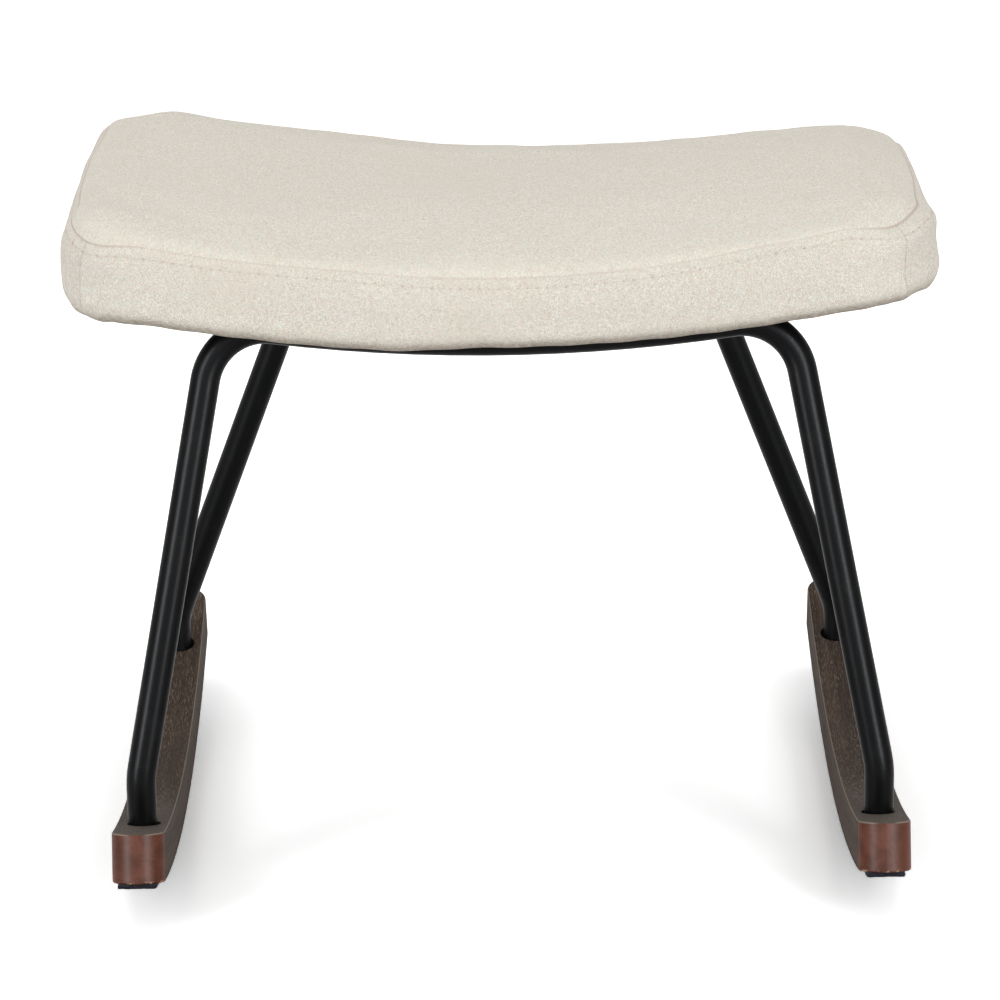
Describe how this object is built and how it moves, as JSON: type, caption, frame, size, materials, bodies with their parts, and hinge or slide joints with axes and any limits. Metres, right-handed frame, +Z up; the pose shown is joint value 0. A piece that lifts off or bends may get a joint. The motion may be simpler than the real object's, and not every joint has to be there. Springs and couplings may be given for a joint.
{
  "type": "rocking footstool",
  "caption": "Upholstered saddle-seat footstool on bent steel tube hoops and curved wooden rockers.",
  "frame": {"origin": "on the floor, under the middle of the stool", "axes": "+Z up, +X to the right and across the saddle seat, +Y to the back, away from the wider hoop"},
  "size_m": [0.561, 0.4956, 0.4541],
  "materials": {
    "cover_cloth": "matte",
    "foam": "matte",
    "plywood": "matte",
    "dust_cloth": "matte",
    "black_steel": "satin",
    "fastener_steel": "satin",
    "stained_wood": "satin",
    "felt": "matte"
  },
  "bodies": {
    "root": {"cover_top_panel": "cover_cloth", "cover_boxing_front": "cover_cloth", "cover_boxing_back": "cover_cloth", "cover_boxing_left": "cover_cloth", "cover_boxing_right": "cover_cloth", "foam_pad": "foam", "seat_board": "plywood", "dust_cover": "dust_cloth", "tee_nuts": "fastener_steel", "seat_bolts": "fastener_steel", "seat_washers": "fastener_steel", "left_seat_strap": "black_steel", "right_seat_strap": "black_steel", "front_leg_hoop": "black_steel", "rear_leg_hoop": "black_steel", "leg_inserts": "fastener_steel", "leg_bolts": "fastener_steel", "leg_washers": "fastener_steel", "left_rocker": "stained_wood", "right_rocker": "stained_wood", "left_felt_strip": "felt", "right_felt_strip": "felt"}
  },
  "joints": []
}
